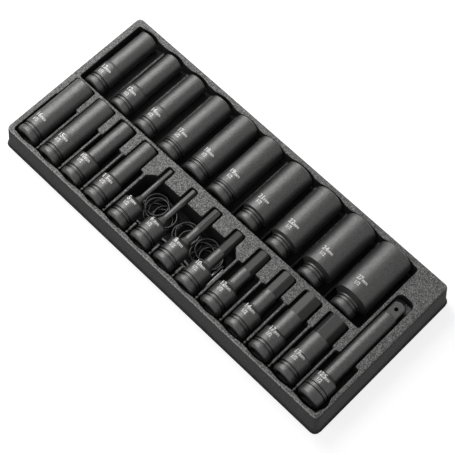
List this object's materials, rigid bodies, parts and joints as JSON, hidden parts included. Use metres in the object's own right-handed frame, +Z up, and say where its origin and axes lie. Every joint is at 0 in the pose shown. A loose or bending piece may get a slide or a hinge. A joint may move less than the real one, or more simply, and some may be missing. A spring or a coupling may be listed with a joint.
{
  "type": "socket organizer drawer tray",
  "caption": "Formed plastic drawer tray with deep impact sockets, hex bit sockets and an extension bar lying in two rows of pockets.",
  "frame": {"origin": "on the floor, at the middle of the tray's foot", "axes": "+X along the long side, +Y from the wall at the drive ends to the wall at the nut ends, +Z up"},
  "size_m": [0.42, 0.185, 0.046],
  "materials": {
    "tray_plastic": "fine grained, matt",
    "socket_steel": "dark phosphate, satin",
    "bit_steel": "dark phosphate, satin",
    "bar_steel": "dark phosphate, satin",
    "ring_rubber": "matt",
    "pin_steel": "ground"
  },
  "bodies": {
    "tray": {"tray": "tray_plastic", "retaining_rings": "ring_rubber", "retaining_pins": "pin_steel"},
    "socket_10mm": {"socket_10mm": "socket_steel"},
    "socket_11mm": {"socket_11mm": "socket_steel"},
    "socket_12mm": {"socket_12mm": "socket_steel"},
    "socket_13mm": {"socket_13mm": "socket_steel"},
    "socket_14mm": {"socket_14mm": "socket_steel"},
    "socket_15mm": {"socket_15mm": "socket_steel"},
    "socket_16mm": {"socket_16mm": "socket_steel"},
    "socket_17mm": {"socket_17mm": "socket_steel"},
    "socket_18mm": {"socket_18mm": "socket_steel"},
    "socket_19mm": {"socket_19mm": "socket_steel"},
    "socket_21mm": {"socket_21mm": "socket_steel"},
    "socket_22mm": {"socket_22mm": "socket_steel"},
    "socket_24mm": {"socket_24mm": "socket_steel"},
    "socket_27mm": {"socket_27mm": "socket_steel"},
    "hex_bit_5mm": {"hex_bit_5mm": "bit_steel"},
    "hex_bit_6mm": {"hex_bit_6mm": "bit_steel"},
    "hex_bit_8mm": {"hex_bit_8mm": "bit_steel"},
    "hex_bit_10mm": {"hex_bit_10mm": "bit_steel"},
    "hex_bit_12mm": {"hex_bit_12mm": "bit_steel"},
    "hex_bit_14mm": {"hex_bit_14mm": "bit_steel"},
    "hex_bit_17mm": {"hex_bit_17mm": "bit_steel"},
    "hex_bit_19mm": {"hex_bit_19mm": "bit_steel"},
    "extension_bar": {"extension_bar": "bar_steel"}
  },
  "joints": [
    {"name": "socket_10mm_lift", "type": "slide", "parent": "tray", "child": "socket_10mm", "axis": [0, 0, 1], "range_m": [0, 0.06]},
    {"name": "socket_11mm_lift", "type": "slide", "parent": "tray", "child": "socket_11mm", "axis": [0, 0, 1], "range_m": [0, 0.06]},
    {"name": "socket_12mm_lift", "type": "slide", "parent": "tray", "child": "socket_12mm", "axis": [0, 0, 1], "range_m": [0, 0.06]},
    {"name": "socket_13mm_lift", "type": "slide", "parent": "tray", "child": "socket_13mm", "axis": [0, 0, 1], "range_m": [0, 0.06]},
    {"name": "socket_14mm_lift", "type": "slide", "parent": "tray", "child": "socket_14mm", "axis": [0, 0, 1], "range_m": [0, 0.06]},
    {"name": "socket_15mm_lift", "type": "slide", "parent": "tray", "child": "socket_15mm", "axis": [0, 0, 1], "range_m": [0, 0.06]},
    {"name": "socket_16mm_lift", "type": "slide", "parent": "tray", "child": "socket_16mm", "axis": [0, 0, 1], "range_m": [0, 0.06]},
    {"name": "socket_17mm_lift", "type": "slide", "parent": "tray", "child": "socket_17mm", "axis": [0, 0, 1], "range_m": [0, 0.06]},
    {"name": "socket_18mm_lift", "type": "slide", "parent": "tray", "child": "socket_18mm", "axis": [0, 0, 1], "range_m": [0, 0.06]},
    {"name": "socket_19mm_lift", "type": "slide", "parent": "tray", "child": "socket_19mm", "axis": [0, 0, 1], "range_m": [0, 0.06]},
    {"name": "socket_21mm_lift", "type": "slide", "parent": "tray", "child": "socket_21mm", "axis": [0, 0, 1], "range_m": [0, 0.06]},
    {"name": "socket_22mm_lift", "type": "slide", "parent": "tray", "child": "socket_22mm", "axis": [0, 0, 1], "range_m": [0, 0.06]},
    {"name": "socket_24mm_lift", "type": "slide", "parent": "tray", "child": "socket_24mm", "axis": [0, 0, 1], "range_m": [0, 0.06]},
    {"name": "socket_27mm_lift", "type": "slide", "parent": "tray", "child": "socket_27mm", "axis": [0, 0, 1], "range_m": [0, 0.06]},
    {"name": "hex_bit_5mm_lift", "type": "slide", "parent": "tray", "child": "hex_bit_5mm", "axis": [0, 0, 1], "range_m": [0, 0.06]},
    {"name": "hex_bit_6mm_lift", "type": "slide", "parent": "tray", "child": "hex_bit_6mm", "axis": [0, 0, 1], "range_m": [0, 0.06]},
    {"name": "hex_bit_8mm_lift", "type": "slide", "parent": "tray", "child": "hex_bit_8mm", "axis": [0, 0, 1], "range_m": [0, 0.06]},
    {"name": "hex_bit_10mm_lift", "type": "slide", "parent": "tray", "child": "hex_bit_10mm", "axis": [0, 0, 1], "range_m": [0, 0.06]},
    {"name": "hex_bit_12mm_lift", "type": "slide", "parent": "tray", "child": "hex_bit_12mm", "axis": [0, 0, 1], "range_m": [0, 0.06]},
    {"name": "hex_bit_14mm_lift", "type": "slide", "parent": "tray", "child": "hex_bit_14mm", "axis": [0, 0, 1], "range_m": [0, 0.06]},
    {"name": "hex_bit_17mm_lift", "type": "slide", "parent": "tray", "child": "hex_bit_17mm", "axis": [0, 0, 1], "range_m": [0, 0.06]},
    {"name": "hex_bit_19mm_lift", "type": "slide", "parent": "tray", "child": "hex_bit_19mm", "axis": [0, 0, 1], "range_m": [0, 0.06]},
    {"name": "extension_bar_lift", "type": "slide", "parent": "tray", "child": "extension_bar", "axis": [0, 0, 1], "range_m": [0, 0.06]}
  ]
}
